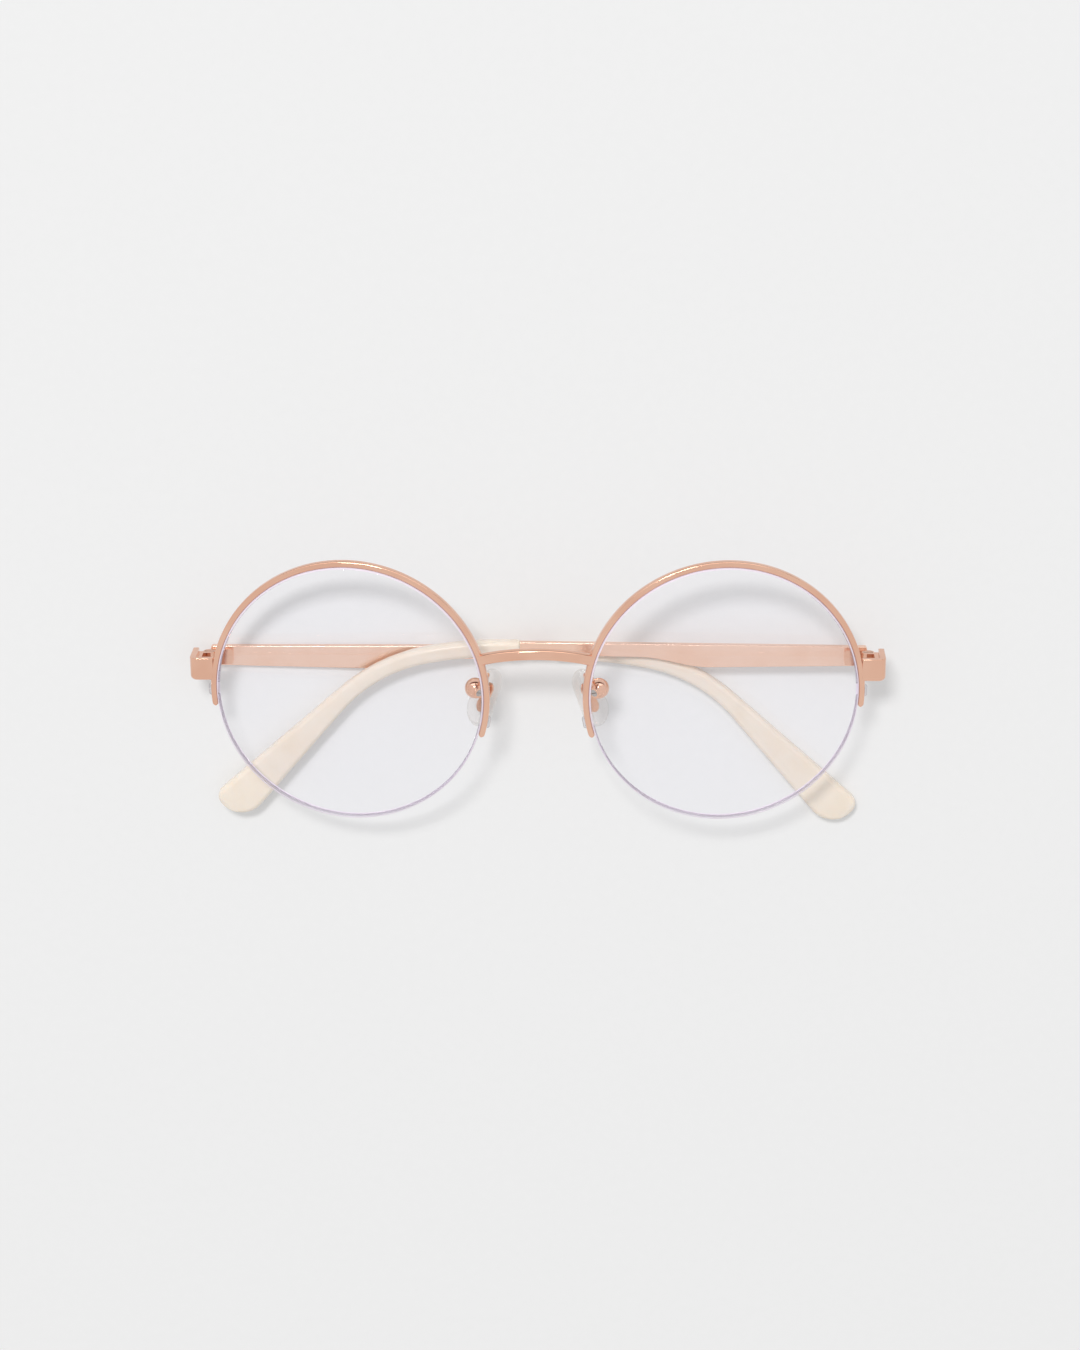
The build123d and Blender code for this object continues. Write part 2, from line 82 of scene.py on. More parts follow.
def colour(name, description, hex_value):
    """A colour setting, an sRGB hex value."""
    return bpy.props.StringProperty(name=name, description=description, default=hex_value)


class FrontSettings(bpy.types.PropertyGroup):
    lens_diameter: length("Lens diameter", "Outside diameter of both lenses", 54.0)
    lens_gap: length("Lens gap", "Distance between the lenses at the nose", 21.0)
    endpiece_out: length("Endpiece out", "How far each endpiece stands out beside its lens", 5.4)
    wrap: turn("Wrap", "How far each lens turns back at the temple", 5.0)
    tilt: turn("Tilt", "How far the front leans from the hinge pins", 2.6)
    hinge_height: length("Hinge height", "Height of the hinges over the lens centres", 4.5)
    lens_edge: length("Lens edge", "Thickness of the lens at its edge", 2.0)
    front_radius: length("Front radius", "Radius of the lens's front surface", 110.0)
    back_radius: length("Back radius", "Radius of the lens's back surface", 158.0)
    lens_chamfer: length("Lens chamfer", "Chamfer ground on both lens edges", 0.25)
    groove_width: length("Groove width", "Width of the groove round the lens", 0.6)
    groove_depth: length("Groove depth", "Depth of the groove round the lens", 0.5)
    rim_fit: length("Rim fit", "Room between the lens and the rim", 0.05)
    rim_wall: length("Rim width", "Width of the rim seen from the front", 1.2)
    rim_depth: length("Rim depth", "Depth of the rim from front to back", 1.5)
    rim_round: length("Rim rounding", "Rounding of the rim's outer edges", 0.5)
    rim_inner_round: length("Rim inner rounding", "Rounding of its edges beside the lens", 0.28)
    channel_width: length("Channel width", "Width of the channel inside the rim", 0.7)
    channel_depth: length("Channel depth", "Depth of the channel inside the rim", 0.6)
    temporal_drop: length("Temporal drop", "How far the rim comes down on the temple side", 2.85)
    nasal_drop: length("Nasal drop", "How far the rim comes down on the nose side", 7.7)
    bridge_height: length("Bridge height", "Height at which the bridge meets the rims", 8.2)
    bridge_rise: length("Bridge rise", "How far the bridge arches up", 2.0)
    bridge_forward: length("Bridge forward", "How far the bridge arches forward", 2.0)
    bridge_tall: length("Bridge height of bar", "Height of the bar's section", 2.25)
    bridge_deep: length("Bridge depth of bar", "Depth of the bar's section", 1.6)
    bridge_round: length("Bridge rounding", "Rounding of the bar's edges", 0.55)
    endpiece_tall: length("Endpiece height", "Height of the strip that carries the hinge", 4.8)
    endpiece_thickness: length("Endpiece thickness", "Thickness of that strip", 1.2)
    endpiece_reach: length("Endpiece reach", "From the strip's front face back to the pin", 6.9)
    endpiece_bend: length("Endpiece bend", "Outer radius of the strip's bend", 1.5)
    endpiece_corner: length("Endpiece corner", "Rounding of the strip's lower front edge", 0.9)
    edge: length("Broken edge", "Rounding of sharp metal edges by polishing", 0.15)


class TempleSettings(bpy.types.PropertyGroup):
    pin_inset: length("Pin inset", "From the frame's side in to the hinge pin", 3.2)
    thickness: length("Blade thickness", "Thickness of the blade", 1.3)
    gap: length("Hinge gap", "Room between the pin and the blade's end", 0.1)
    tall: length("Blade height", "Height of the blade at the hinge", 4.1)
    widest: length("Widest height", "Height of the blade where it is widest", 4.85)
    narrow: length("Narrow height", "Height of the blade where it enters the tip", 2.8)
    widest_at: length("Widest at", "Where the blade is widest, from the pin", 32.0)
    narrow_at: length("Narrow at", "Where the blade has become narrow", 46.0)
    blade_length: length("Blade length", "From the pin to the start of the tip", 70.1)
    overlap: length("Blade overlap", "How far the blade reaches into the tip", 2.0)
    corner: length("Blade corner", "Rounding of the blade's corners at the hinge", 0.4)
    edge: length("Blade edge", "Rounding of the blade's long edges", 0.18)
    tip_tall: length("Tip height", "Height of the tip at its start", 3.3)
    tip_thickness: length("Tip thickness", "Thickness of the tip", 3.0)
    tip_round: length("Tip rounding", "Rounding of the tip's long edges", 1.1)
    mouth_round: length("Mouth rounding", "Rounding of the edge round the tip's start", 0.35)
    top_lead: length("Top lead", "Straight start of the tip's top edge", 3.1)
    top_ease: length("Top ease", "Radius of the top edge's first, easy bend", 79.0)
    top_ease_turn: turn("Top ease turn", "Angle of that easy bend", 10.9)
    top_bend: length("Top bend", "Radius of the top edge's bend", 38.1)
    top_turn: turn("Top turn", "Angle of that bend", 31.2)
    top_run: length("Top run", "Straight end of the top edge", 35.6)
    low_lead: length("Low lead", "Straight start of the tip's lower edge", 1.6)
    low_ease: length("Low ease", "Radius of the lower edge's first, easy bend", 84.0)
    low_ease_turn: turn("Low ease turn", "Angle of that easy bend", 11.7)
    low_bend: length("Low bend", "Radius of the lower edge's bend", 30.3)
    low_turn: turn("Low turn", "Angle of that bend", 38.9)
    low_run: length("Low run", "Straight end of the lower edge", 32.4)
    paddle_high: length("Paddle high round", "Rounding of the paddle's upper corner", 2.5)
    paddle_low: length("Paddle low round", "Rounding of the paddle's lower corner", 5.3)
    fold_left: turn("Left fold", "How far the left temple is folded in", 89.0)
    fold_right: turn("Right fold", "How far the right temple is folded in", 91.2)
    lift_left: turn("Left lift", "How far the left temple is bent up", -0.3)
    lift_right: turn("Right lift", "How far the right temple is bent up", 1.1)


class PadSettings(bpy.types.PropertyGroup):
    ball_outset: length("Ball outset", "From the lens's inner edge out to the pad holder", 1.9)
    ball_height: length("Ball height", "Height of the pad holder over the lens centres", 0.3)
    ball_back: length("Ball back", "How far behind the rims the pad holder is", 4.5)
    splay: turn("Splay", "How far the pads turn to the front", 35.0)
    flare: turn("Flare", "How far the pads' lower ends stand apart", 24.0)
    lift: length("Pad lift", "From the holder's middle to the pad", 2.75)
    drop: length("Pad drop", "How far the pad sits below its screw", 1.8)
    thickness: length("Pad thickness", "Thickness of the pad", 2.0)
    length: length("Pad length", "Length of the pad", 12.6)
    low_radius: length("Pad low radius", "Radius of the pad's lower end", 3.8)
    high_radius: length("Pad high radius", "Radius of the pad's upper end", 2.8)


class FinishSettings(bpy.types.PropertyGroup):
    rose: colour("Rose gold", "Colour of the polished plating", "ECC0A8")
    rose_deep: colour("Deep rose gold", "Where the plating is a little thicker", "E6B69D")
    satin: colour("Satin rose gold", "Colour of the blasted blades", "F9D7C4")
    satin_deep: colour("Deep satin", "Where the blades' plating is a little thicker", "F6D0BB")
    lens: colour("Lens", "Tint of the lens", "FEFEFF")
    lens_straight: number("Lens straight", "Share of light that the lens doesn't bend", 0.96)
    lens_edge: colour("Lens edge", "The ground edge, with the coating's lilac in it", "D6CCD6")
    lens_edge_deep: colour("Deep lens edge", "Where the ground edge is deeper", "D2C7D3")
    # The ground edge's glow is painted light: an emission that stands in for light caught in the
    # lens
    painted_edge_glow: number("Edge glow", "Strength of the light that the ground edge gives out", 0.26)
    nylon: colour("Nylon", "Colour of the clear nylon", "F1F0F2")
    nylon_straight: number("Nylon straight", "Share of light that the nylon doesn't bend", 0.6)
    cream: colour("Cream", "Colour of the acetate", "F0E5D8")
    cream_warm: colour("Warm cream", "The acetate's warmer clouds", "EDE0D0")
    silicone: colour("Silicone", "Colour of the clear pads", "FCFBFA")
    silicone_straight: number("Pad straight", "Share of light that the pads don't bend", 0.85)
    steel: colour("Steel", "Colour of the screws", "B4B1AE")
    steel_light: colour("Light steel", "Where the turned steel is brighter", "C4C1BE")
    table: colour("Table", "Colour of the table", "EEEEEE")
    table_fibre: colour("Table fibre", "Where the table's card is a little darker", "EDEDED")
    backdrop: colour("Backdrop", "Tone of the room, and a share of the table's", "EFEFEF")


class StageSettings(bpy.types.PropertyGroup):
    distance: length("Camera distance", "From the glasses' middle to the camera", 650.0)
    focal: length("Focal length", "Focal length on a 36 mm sensor", 86.97)
    tilt: turn("Camera tilt", "How far the camera leans from straight above", 18.4)
    yaw: turn("Camera yaw", "How far the camera leans to the right", 0.3)
    roll: turn("Camera roll", "How far the picture is turned", -0.44)
    aim_across: length("Aim across", "How far the glasses lie left of the picture's middle", 0.75)
    aim_down: length("Aim down", "How far the glasses lie below the picture's middle", 4.6)
    lamp_power: number("Lamp power", "Power of the soft lamp", 60.0)
    sky: number("Room light", "Strength of the even light", 0.6)
    white_card: number("White card", "Brightness of the card that metal reflects", 1.9)
    high_card: number("High card", "Brightness of the card in the lamp's direction", 20.0)
    dark_flag: number("Dark flag", "Brightness of the dark card", 1.0)
    paper: number("Paper", "Share of the backdrop's tone in the table's", 0.28)


# Places
def front_matrix():
    """The plane of the front, leaning from the upright of the hinge pins."""
    return Matrix.Rotation(bpy.context.scene.front.tilt, 4, "X")


def lens_matrix():
    """The right lens as worn: its middle, with X to the temple, Y up and Z forward."""
    s = bpy.context.scene.front
    radius = s.lens_diameter / 2
    spot = (s.lens_gap / 2 + radius * cos(s.wrap), 0, -radius * sin(s.wrap))
    return front_matrix() @ Matrix.Translation(spot) @ Matrix.Rotation(s.wrap, 4, "Y")


def rim_middle():
    """The radius of the middle of the rim's wire."""
    s = bpy.context.scene.front
    return s.lens_diameter / 2 + s.rim_fit + s.rim_wall / 2


def endpiece_front():
    """How far forward the front face of the endpieces is."""
    s = bpy.context.scene.front
    return (lens_matrix() @ Vector((rim_middle(), s.hinge_height, s.rim_depth / 2))).z


def pin_back():
    """How far forward the hinge pins are, which is less than zero."""
    return endpiece_front() - bpy.context.scene.front.endpiece_reach


def frame_side():
    """Half the frame's width, over the two endpieces."""
    s = bpy.context.scene.front
    return s.lens_gap / 2 + s.lens_diameter * cos(s.wrap) + s.endpiece_out


def worn_matrix():
    """The glasses as worn, in the place where they lie on the table, found from the hinge pins.

    X runs to the picture's right, Y up and Z forward.
    """
    pins = [Vector(joints[f"temple_{side}_hinge"]["pos_m"]) for side in SIDES]
    up = Vector(joints["temple_left_hinge"]["axis"])
    across = (pins[0] - pins[1]).normalized()
    forward = across.cross(up)
    height = bpy.context.scene.front.hinge_height
    middle = (pins[0] + pins[1]) / 2 - height * up - pin_back() * forward
    turned = Matrix((across, up, forward)).transposed().to_4x4()
    return Matrix.Translation(middle) @ turned


def temple_matrix(side):
    """A folded temple: its pin's height at its outer face.

    X runs from the pin to the tip, Y up and Z outwards.
    """
    s, t = bpy.context.scene.front, bpy.context.scene.temple
    fold, lift = (t.fold_right, t.lift_right) if side == "right" else (-t.fold_left, t.lift_left)
    way = 1 if side == "right" else -1
    pin = Vector((way * (frame_side() - t.pin_inset), 0, pin_back()))
    folded = Matrix.Translation(pin) @ Matrix.Rotation(fold, 4, "Y") @ Matrix.Translation(-pin)
    mirrored = Matrix.Diagonal((way, 1, 1, 1))
    backwards = Matrix(((0, 0, 1), (0, 1, 0), (-1, 0, 0))).to_4x4()
    spot = Matrix.Translation((frame_side(), s.hinge_height, pin_back()))
    return worn_matrix() @ folded @ mirrored @ spot @ backwards @ Matrix.Rotation(lift, 4, "Z")


def pad_matrix():
    """The right pad holder's ball, with X forward along its screw and Z out of the pad's face."""
    p = bpy.context.scene.pad
    forward = Vector((-sin(p.splay) * cos(p.flare), -sin(p.splay) * sin(p.flare), cos(p.splay)))
    face = Vector((-cos(p.splay) * cos(p.flare), -cos(p.splay) * sin(p.flare), -sin(p.splay)))
    turned = Matrix((forward, face.cross(forward), face)).transposed().to_4x4()
    across = bpy.context.scene.front.lens_gap / 2 + p.ball_outset
    return front_matrix() @ Matrix.Translation((across, p.ball_height, -p.ball_back)) @ turned


# Modelling
def open_up():
    """Opens the active piece in edit mode with all of it selected."""
    bpy.ops.object.mode_set(mode="EDIT")
    bpy.ops.mesh.select_all(action="SELECT")


def start(name, primitive, **settings):
    """Adds a primitive under its piece's name, alone selected, and opens it in edit mode."""
    bpy.ops.object.select_all(action="DESELECT")
    primitive(**settings)
    piece = bpy.context.object
    piece.name = piece.data.name = name
    open_up()
    return piece


def disc(name, radius, segments):
    """Starts a piece from a filled circle."""
    sizes = {"radius": radius, "vertices": segments, "location": (0, 0, 0)}
    return start(name, bpy.ops.mesh.primitive_circle_add, fill_type="NGON", **sizes)


def section(name, width, depth):
    """Starts a piece from its section, a rectangle."""
    piece = start(name, bpy.ops.mesh.primitive_plane_add, size=1)
    scale((width, depth, 1), (0, 0, 0))
    return piece


def choose(piece, test, kind="VERT"):
    """Selects the vertices, edges or faces in edit mode whose middle passes a test."""
    bpy.ops.mesh.select_mode(type=kind)
    bpy.ops.mesh.select_all(action="DESELECT")
    shape = bmesh.from_edit_mesh(piece.data)
    for part in {"VERT": shape.verts, "EDGE": shape.edges, "FACE": shape.faces}[kind]:
        corners = [part.co] if kind == "VERT" else [v.co for v in part.verts]
        part.select_set(test(sum(corners, Vector()) / len(corners)))
    shape.select_flush_mode()
    bmesh.update_edit_mesh(piece.data)


def round_corners(piece, radius, segments, test=lambda at: True):
    """Rounds the corners of a section that pass a test."""
    choose(piece, test)
    bpy.ops.mesh.bevel(offset=radius, segments=segments, affect="VERTICES")


def cut(piece, point, normal):
    """Cuts the whole piece along a plane, in edit mode."""
    bpy.ops.mesh.select_all(action="SELECT")
    bpy.ops.mesh.bisect(plane_co=point, plane_no=normal)


def draw_out(shift=(0, 0, 0)):
    """Extrudes what is selected by a shift."""
    bpy.ops.mesh.extrude_region_move(TRANSFORM_OT_translate={"value": shift})


def swing(angle, centre):
    """Turns what is selected about Z. Without a window the operator turns the other way."""
    bpy.ops.transform.rotate(value=-angle, orient_axis="Z", center_override=centre)


def scale(factors, centre):
    """Scales what is selected from a centre."""
    bpy.ops.transform.resize(value=factors, center_override=centre)


def lay(piece, matrix):
    """Puts a piece in its place, in its mesh."""
    if bpy.context.mode != "OBJECT":
        bpy.ops.object.mode_set(mode="OBJECT")
    piece.data.transform(matrix)
    if matrix.determinant() < 0:
        piece.data.flip_normals()


def round_edges(piece, width):
    """Rounds every edge of a closed piece that turns by more than 45 degrees."""
    bevel = piece.modifiers.new("Round", "BEVEL")
    bevel.width, bevel.segments = width, 3
    bevel.limit_method, bevel.angle_limit = "ANGLE", radians(45)
    bpy.ops.object.modifier_apply(modifier=bevel.name)


def close_up(piece, smooth=40):
    """Leaves edit mode with merged doubles, faces outwards and smooth shading up to an angle."""
    if bpy.context.mode == "OBJECT":
        bpy.ops.object.mode_set(mode="EDIT")
    bpy.ops.mesh.select_all(action="SELECT")
    bpy.ops.mesh.remove_doubles(threshold=SAME)
    bpy.ops.mesh.normals_make_consistent(inside=False)
    bpy.ops.object.mode_set(mode="OBJECT")
    bpy.ops.object.shade_smooth_by_angle(angle=radians(smooth))


def copy_of(piece, name):
    """A copy of a piece with its own mesh."""
    other = piece.copy()
    other.data = piece.data.copy()
    other.name = other.data.name = name
    bpy.context.collection.objects.link(other)
    return other


def both_sides(piece, name):
    """The right piece and its mirrored copy for the left, in the worn place of the right one."""
    piece.name = piece.data.name = f"{name}_right"
    other = copy_of(piece, f"{name}_left")
    lay(other, Matrix.Diagonal((-1, 1, 1, 1)))
    return piece, other


def finish_piece(piece, body, slot, material, *replaced):
    """Gives a piece its material and its body, and says which nodes it stands for."""
    piece.data.materials.clear()
    piece.data.materials.append(material)
    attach(piece, body)
    if replaced:
        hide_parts(*replaced)


def turned(name, profile, segments):
    """Turns a piece on a lathe: a disc, drawn out ring by ring through (radius, height) along Z."""
    radius, height = profile[0]
    piece = disc(name, radius, segments)
    lay(piece, Matrix.Translation((0, 0, height)))
    open_up()
    for next_radius, next_height in profile[1:]:
        draw_out((0, 0, next_height - height))
        scale((next_radius / radius, next_radius / radius, 1), (0, 0, next_height))
        radius, height = next_radius, next_height
    close_up(piece)
    return piece


def part_halves(piece, growth, centre):
    """Moves the halves of the selected ring apart in Y. Its rounded corners keep their size."""
    ring = [v.index for v in bmesh.from_edit_mesh(piece.data).verts if v.select]
    for half in (1, -1, 0):
        shape = bmesh.from_edit_mesh(piece.data)
        shape.verts.ensure_lookup_table()
        for number in ring:
            corner = shape.verts[number]
            corner.select_set(half == 0 or (corner.co.y - centre[1]) * half > 0)
        shape.select_flush_mode()
        bmesh.update_edit_mesh(piece.data)
        if half:
            bpy.ops.transform.translate(value=(0, half * growth / 2, 0))


def dome(radius, out):
    """How far a sphere falls from its top to a distance from its axis."""
    return radius - sqrt(radius**2 - out**2)


def bent(radius, angle):
    """A leg of an edge that bends down, as its length and its turn."""
    return radius * angle, -angle


def whole(legs):
    """The length of an edge, over all its legs."""
    return sum(leg[0] for leg in legs)


def along(legs, distance):
    """The point at a distance along an edge of (length, turn) legs, from the origin along X."""
    spot, heading = Vector((0, 0)), 0.0
    for reach, bend in legs:
        part = max(0.0, min(distance, reach))
        angle = bend * part / reach
        if bend:
            radius = reach / abs(bend)
            side = 1 if bend > 0 else -1
            middle = spot + side * radius * Vector((-sin(heading), cos(heading)))
            spot = middle + Matrix.Rotation(angle, 2) @ (spot - middle)
        else:
            spot = spot + part * Vector((cos(heading), sin(heading)))
        heading += angle
        distance -= reach
        if distance <= 0:
            break
    return spot


# Materials
def linear(hex_value):
    """A linear colour from an sRGB hex value, by the standard's own curve."""
    parts = [int(hex_value[i : i + 2], 16) / 255 for i in (0, 2, 4)]
    curve = [
        part / 12.92 if part <= 0.04045 else ((part + 0.055) / 1.055) ** 2.4 for part in parts
    ]
    return curve + [1.0]


def new_material(name):
    """An empty material and its node tree."""
    material = bpy.data.materials.new(name)
    material.use_nodes = True
    material.node_tree.nodes.clear()
    return material, material.node_tree


def plug(tree, socket, value):
    """Sets an input to a value, or links it to a node and the name of its output."""
    if isinstance(value, tuple) and isinstance(value[0], bpy.types.Node):
        tree.links.new(value[0].outputs[value[1]], socket)
    else:
        socket.default_value = value


def add(tree, kind, settings=None, **inputs):
    """Adds a node with its settings and its inputs by name."""
    made = tree.nodes.new(kind)
    for name, value in (settings or {}).items():
        setattr(made, name, value)
    for name, value in inputs.items():
        plug(tree, made.inputs[name.replace("_", " ")], value)
    return made


def add_in_order(tree, kind, *values, **settings):
    """Adds a node with its inputs in their order, because some of them share a name."""
    made = add(tree, kind, settings)
    for socket, value in zip(made.inputs, values):
        plug(tree, socket, value)
    return made


def noise(tree, grain, detail, distortion=0.0):
    """A cloudy pattern in the piece's own space. Its grain is in millimetres."""
    place = (add(tree, "ShaderNodeTexCoord"), "Object")
    inputs = {"Scale": 1 / (grain * MM), "Detail": detail, "Distortion": distortion}
    return add(tree, "ShaderNodeTexNoise", Vector=place, **inputs), "Fac"


def blended(tree, source, low, high, start_at=0.35, end_at=0.65):
    """A ramp from one hex colour to another over part of a pattern's range."""
    ramp = add(tree, "ShaderNodeValToRGB", Fac=source)
    ends = zip(ramp.color_ramp.elements, (start_at, end_at), (low, high))
    for element, position, hex_value in ends:
        element.position, element.color = position, linear(hex_value)
    return ramp, "Color"


def ranged(tree, source, low, high, start_at=0.0, end_at=1.0):
    """Spreads part of a pattern's range over the values from low to high."""
    limits = {"From_Min": start_at, "From_Max": end_at, "To_Min": low, "To_Max": high}
    return add(tree, "ShaderNodeMapRange", Value=source, **limits), "Result"


def bumped(tree, source, depth):
    """Bumps from a pattern, with their depth in millimetres."""
    made = add(tree, "ShaderNodeBump", Height=source, Distance=depth * MM, Strength=1.0)
    return made, "Normal"


def show(tree, shader, output="BSDF"):
    """Makes a shader the surface of the material."""
    add(tree, "ShaderNodeOutputMaterial", Surface=(shader, output))


def principled(tree, **inputs):
    """Adds the shader that most materials use."""
    return add(tree, "ShaderNodeBsdfPrincipled", **inputs)


def rose_gold(name, colours, roughness, grain, depth):
    """Rose gold plating over a metal. The grain is how the metal was finished before plating."""
    material, tree = new_material(name)
    scratches = noise(tree, grain, 3.0)
    shader = principled(
        tree,
        Base_Color=blended(tree, noise(tree, 9, 2.0), *colours),
        Metallic=1.0,
        Roughness=ranged(tree, scratches, *roughness, 0.3, 0.7),
        Normal=bumped(tree, scratches, depth),
    )
    show(tree, shader)
    return material


def polished_rose_gold():
    """Barrel-polished and plated nickel silver: a soft mirror with a faint orange peel."""
    f = bpy.context.scene.finish
    colours = (f.rose, f.rose_deep)
    return rose_gold("polished_rose_gold_plate", colours, (0.08, 0.13), grain=0.5, depth=0.0004)


def satin_rose_gold():
    """The pressed blade, blasted with fine beads before plating: satin, with 0.1 mm grain."""
    f = bpy.context.scene.finish
    colours = (f.satin, f.satin_deep)
    return rose_gold("satin_rose_gold_plate", colours, (0.22, 0.28), grain=0.1, depth=0.0001)


def clear_glass(name, tint, straight, roughness, index):
    """Something clear. Shadow and diffuse rays, and a share of the others, go straight through."""
    material, tree = new_material(name)
    shader = principled(
        tree,
        Base_Color=linear(tint),
        Roughness=ranged(tree, noise(tree, 12, 1.0), roughness * 0.9, roughness * 1.1),
        IOR=index,
        Transmission_Weight=1.0,
    )
    passing = add(tree, "ShaderNodeBsdfTransparent", Color=linear(tint))
    rays = any_ray(tree, "Is Shadow Ray", "Is Diffuse Ray")
    share = add_in_order(tree, "ShaderNodeMath", rays, straight, operation="MAXIMUM")
    shaders = (shader, "BSDF"), (passing, "BSDF")
    mixed = add_in_order(tree, "ShaderNodeMixShader", (share, "Value"), *shaders)
    show(tree, mixed, "Shader")
    return material


def coated_lens():
    """Cast CR-39 with a hard, antireflection coat: clear, with hardly any tint or reflection."""
    f = bpy.context.scene.finish
    return clear_glass("coated_cr39_lens", f.lens, f.lens_straight, roughness=0.0, index=1.5)


def clear_nylon():
    """Drawn nylon monofilament: thin and clear, so most of what is behind it shows through."""
    f = bpy.context.scene.finish
    return clear_glass("clear_nylon_filament", f.nylon, f.nylon_straight, 0.18, index=1.53)


def clear_silicone():
    """Moulded silicone: clear and soft, with a slightly dull skin and only a faint outline."""
    f = bpy.context.scene.finish
    return clear_glass("clear_moulded_silicone", f.silicone, f.silicone_straight, 0.12, index=1.41)


def ground_edge():
    """The ground edge of the lens, lilac from the coating, with a painted glow that stands in for
    the light caught in the lens that leaves here.
    """
    material, tree = new_material("ground_lens_edge")
    f = bpy.context.scene.finish
    tint = blended(tree, noise(tree, 0.3, 2.0), f.lens_edge, f.lens_edge_deep)
    # Painted glow: the edge gives out light in its own tint, standing in for light that leaves the
    # lens there
    glow = {"Emission_Color": tint, "Emission_Strength": f.painted_edge_glow}
    show(tree, principled(tree, Base_Color=tint, Roughness=0.5, IOR=1.5, **glow))
    return material


def cream_acetate():
    """Tumble-polished cellulose acetate: glossy, a little see-through, with warm 6 mm clouds."""
    material, tree = new_material("polished_cream_acetate")
    f = bpy.context.scene.finish
    clouds, ripple = noise(tree, 6, 2.0, distortion=0.4), noise(tree, 2, 1.0)
    shader = principled(
        tree,
        Base_Color=blended(tree, clouds, f.cream, f.cream_warm, 0.45, 0.75),
        Roughness=ranged(tree, ripple, 0.12, 0.18),
        IOR=1.48,
        Normal=bumped(tree, ripple, 0.0002),
        Subsurface_Weight=0.35,
        Subsurface_Radius=(1.0, 0.85, 0.7),
        Subsurface_Scale=0.8 * MM,
    )
    show(tree, shader)
    return material


def turned_steel():
    """Stainless screws, turned: a fine grain dulls their shine."""
    material, tree = new_material("turned_stainless_steel")
    f = bpy.context.scene.finish
    grain = noise(tree, 0.12, 2.0)
    tint, rough = blended(tree, grain, f.steel, f.steel_light), ranged(tree, grain, 0.22, 0.36)
    show(tree, principled(tree, Base_Color=tint, Metallic=1.0, Roughness=rough))
    return material


def table_paper():
    """Matt pale card. A share of its tone is the backdrop's for the rays that show the backdrop."""
    material, tree = new_material("pale_matt_card")
    f = bpy.context.scene.finish
    tint = blended(tree, noise(tree, 2, 3.0), f.table, f.table_fibre)
    shader = add(tree, "ShaderNodeBsdfDiffuse", Color=tint)
    tone = add(tree, "ShaderNodeEmission", Color=linear(f.backdrop), Strength=1.0)
    paper = bpy.context.scene.stage.paper
    share = add_in_order(tree, "ShaderNodeMath", seen_rays(tree), paper, operation="MULTIPLY")
    shaders = (shader, "BSDF"), (tone, "Emission")
    mixed = add_in_order(tree, "ShaderNodeMixShader", (share, "Value"), *shaders)
    show(tree, mixed, "Shader")
    return material


def glowing(name, hex_value, strength):
    """The light of a card that shines with its own tone."""
    material, tree = new_material(name)
    shader = add(tree, "ShaderNodeEmission", Color=linear(hex_value), Strength=strength)
    show(tree, shader, "Emission")
    return material


def any_ray(tree, *kinds):
    """A number that is 1 for the kinds of ray that are named and 0 for all others."""
    rays = add(tree, "ShaderNodeLightPath")
    source = (rays, kinds[0])
    for kind in kinds[1:]:
        either = add_in_order(tree, "ShaderNodeMath", source, (rays, kind), operation="MAXIMUM")
        source = (either, "Value")
    return source


def seen_rays(tree):
    """The rays that show the backdrop: from the camera, off a mirror or through glass."""
    return any_ray(tree, "Is Camera Ray", "Is Glossy Ray", "Is Transmission Ray")


MADE = {}


def shared(maker):
    """A material that is made once."""
    made = bpy.data.materials.get(MADE.get(maker, ""))
    if made is None:
        made = maker()
        MADE[maker] = made.name
    return made


# Operators
class GLASSES_OT_lenses(bpy.types.Operator):
    """Turn both lenses, with their curved faces, chamfers and groove"""

    bl_idname = "glasses.lenses"
    bl_label = "Lenses"

    def execute(self, context):
        s = context.scene.front
        radius, half = s.lens_diameter / 2, s.lens_edge / 2
        face = radius - s.lens_chamfer
        shares = [0.02, 0.1, 0.2, 0.3, 0.4, 0.5, 0.6, 0.7, 0.8, 0.88, 0.94, 0.98, 1.0]
        outs = [face * share for share in shares]
        top = dome(s.back_radius, face) - half
        back = [(out, top - dome(s.back_radius, out)) for out in outs]
        top = dome(s.front_radius, face) + half
        front = [(out, top - dome(s.front_radius, out)) for out in reversed(outs)]
        groove = s.groove_width / 2
        floor = radius - s.groove_depth
        edge = [(radius, s.lens_chamfer - half), (radius, -groove), (floor, -groove)]
        edge += [(floor, groove), (radius, groove), (radius, half - s.lens_chamfer)]
        lens = turned("lens", back + edge + front, segments=192)
        clear, ground = shared(coated_lens), shared(ground_edge)
        centres = [part.center for part in lens.data.polygons]
        at_edge = [int(hypot(centre.x, centre.y) > face) for centre in centres]
        lay(lens, lens_matrix())
        for side, piece in zip(SIDES, both_sides(lens, "lens_glass")):
            finish_piece(piece, "front", "lens", clear, f"lens_{side}")
            piece.data.materials.append(ground)
            piece.data.polygons.foreach_set("material_index", at_edge)
            lay(piece, worn_matrix())
        return {"FINISHED"}


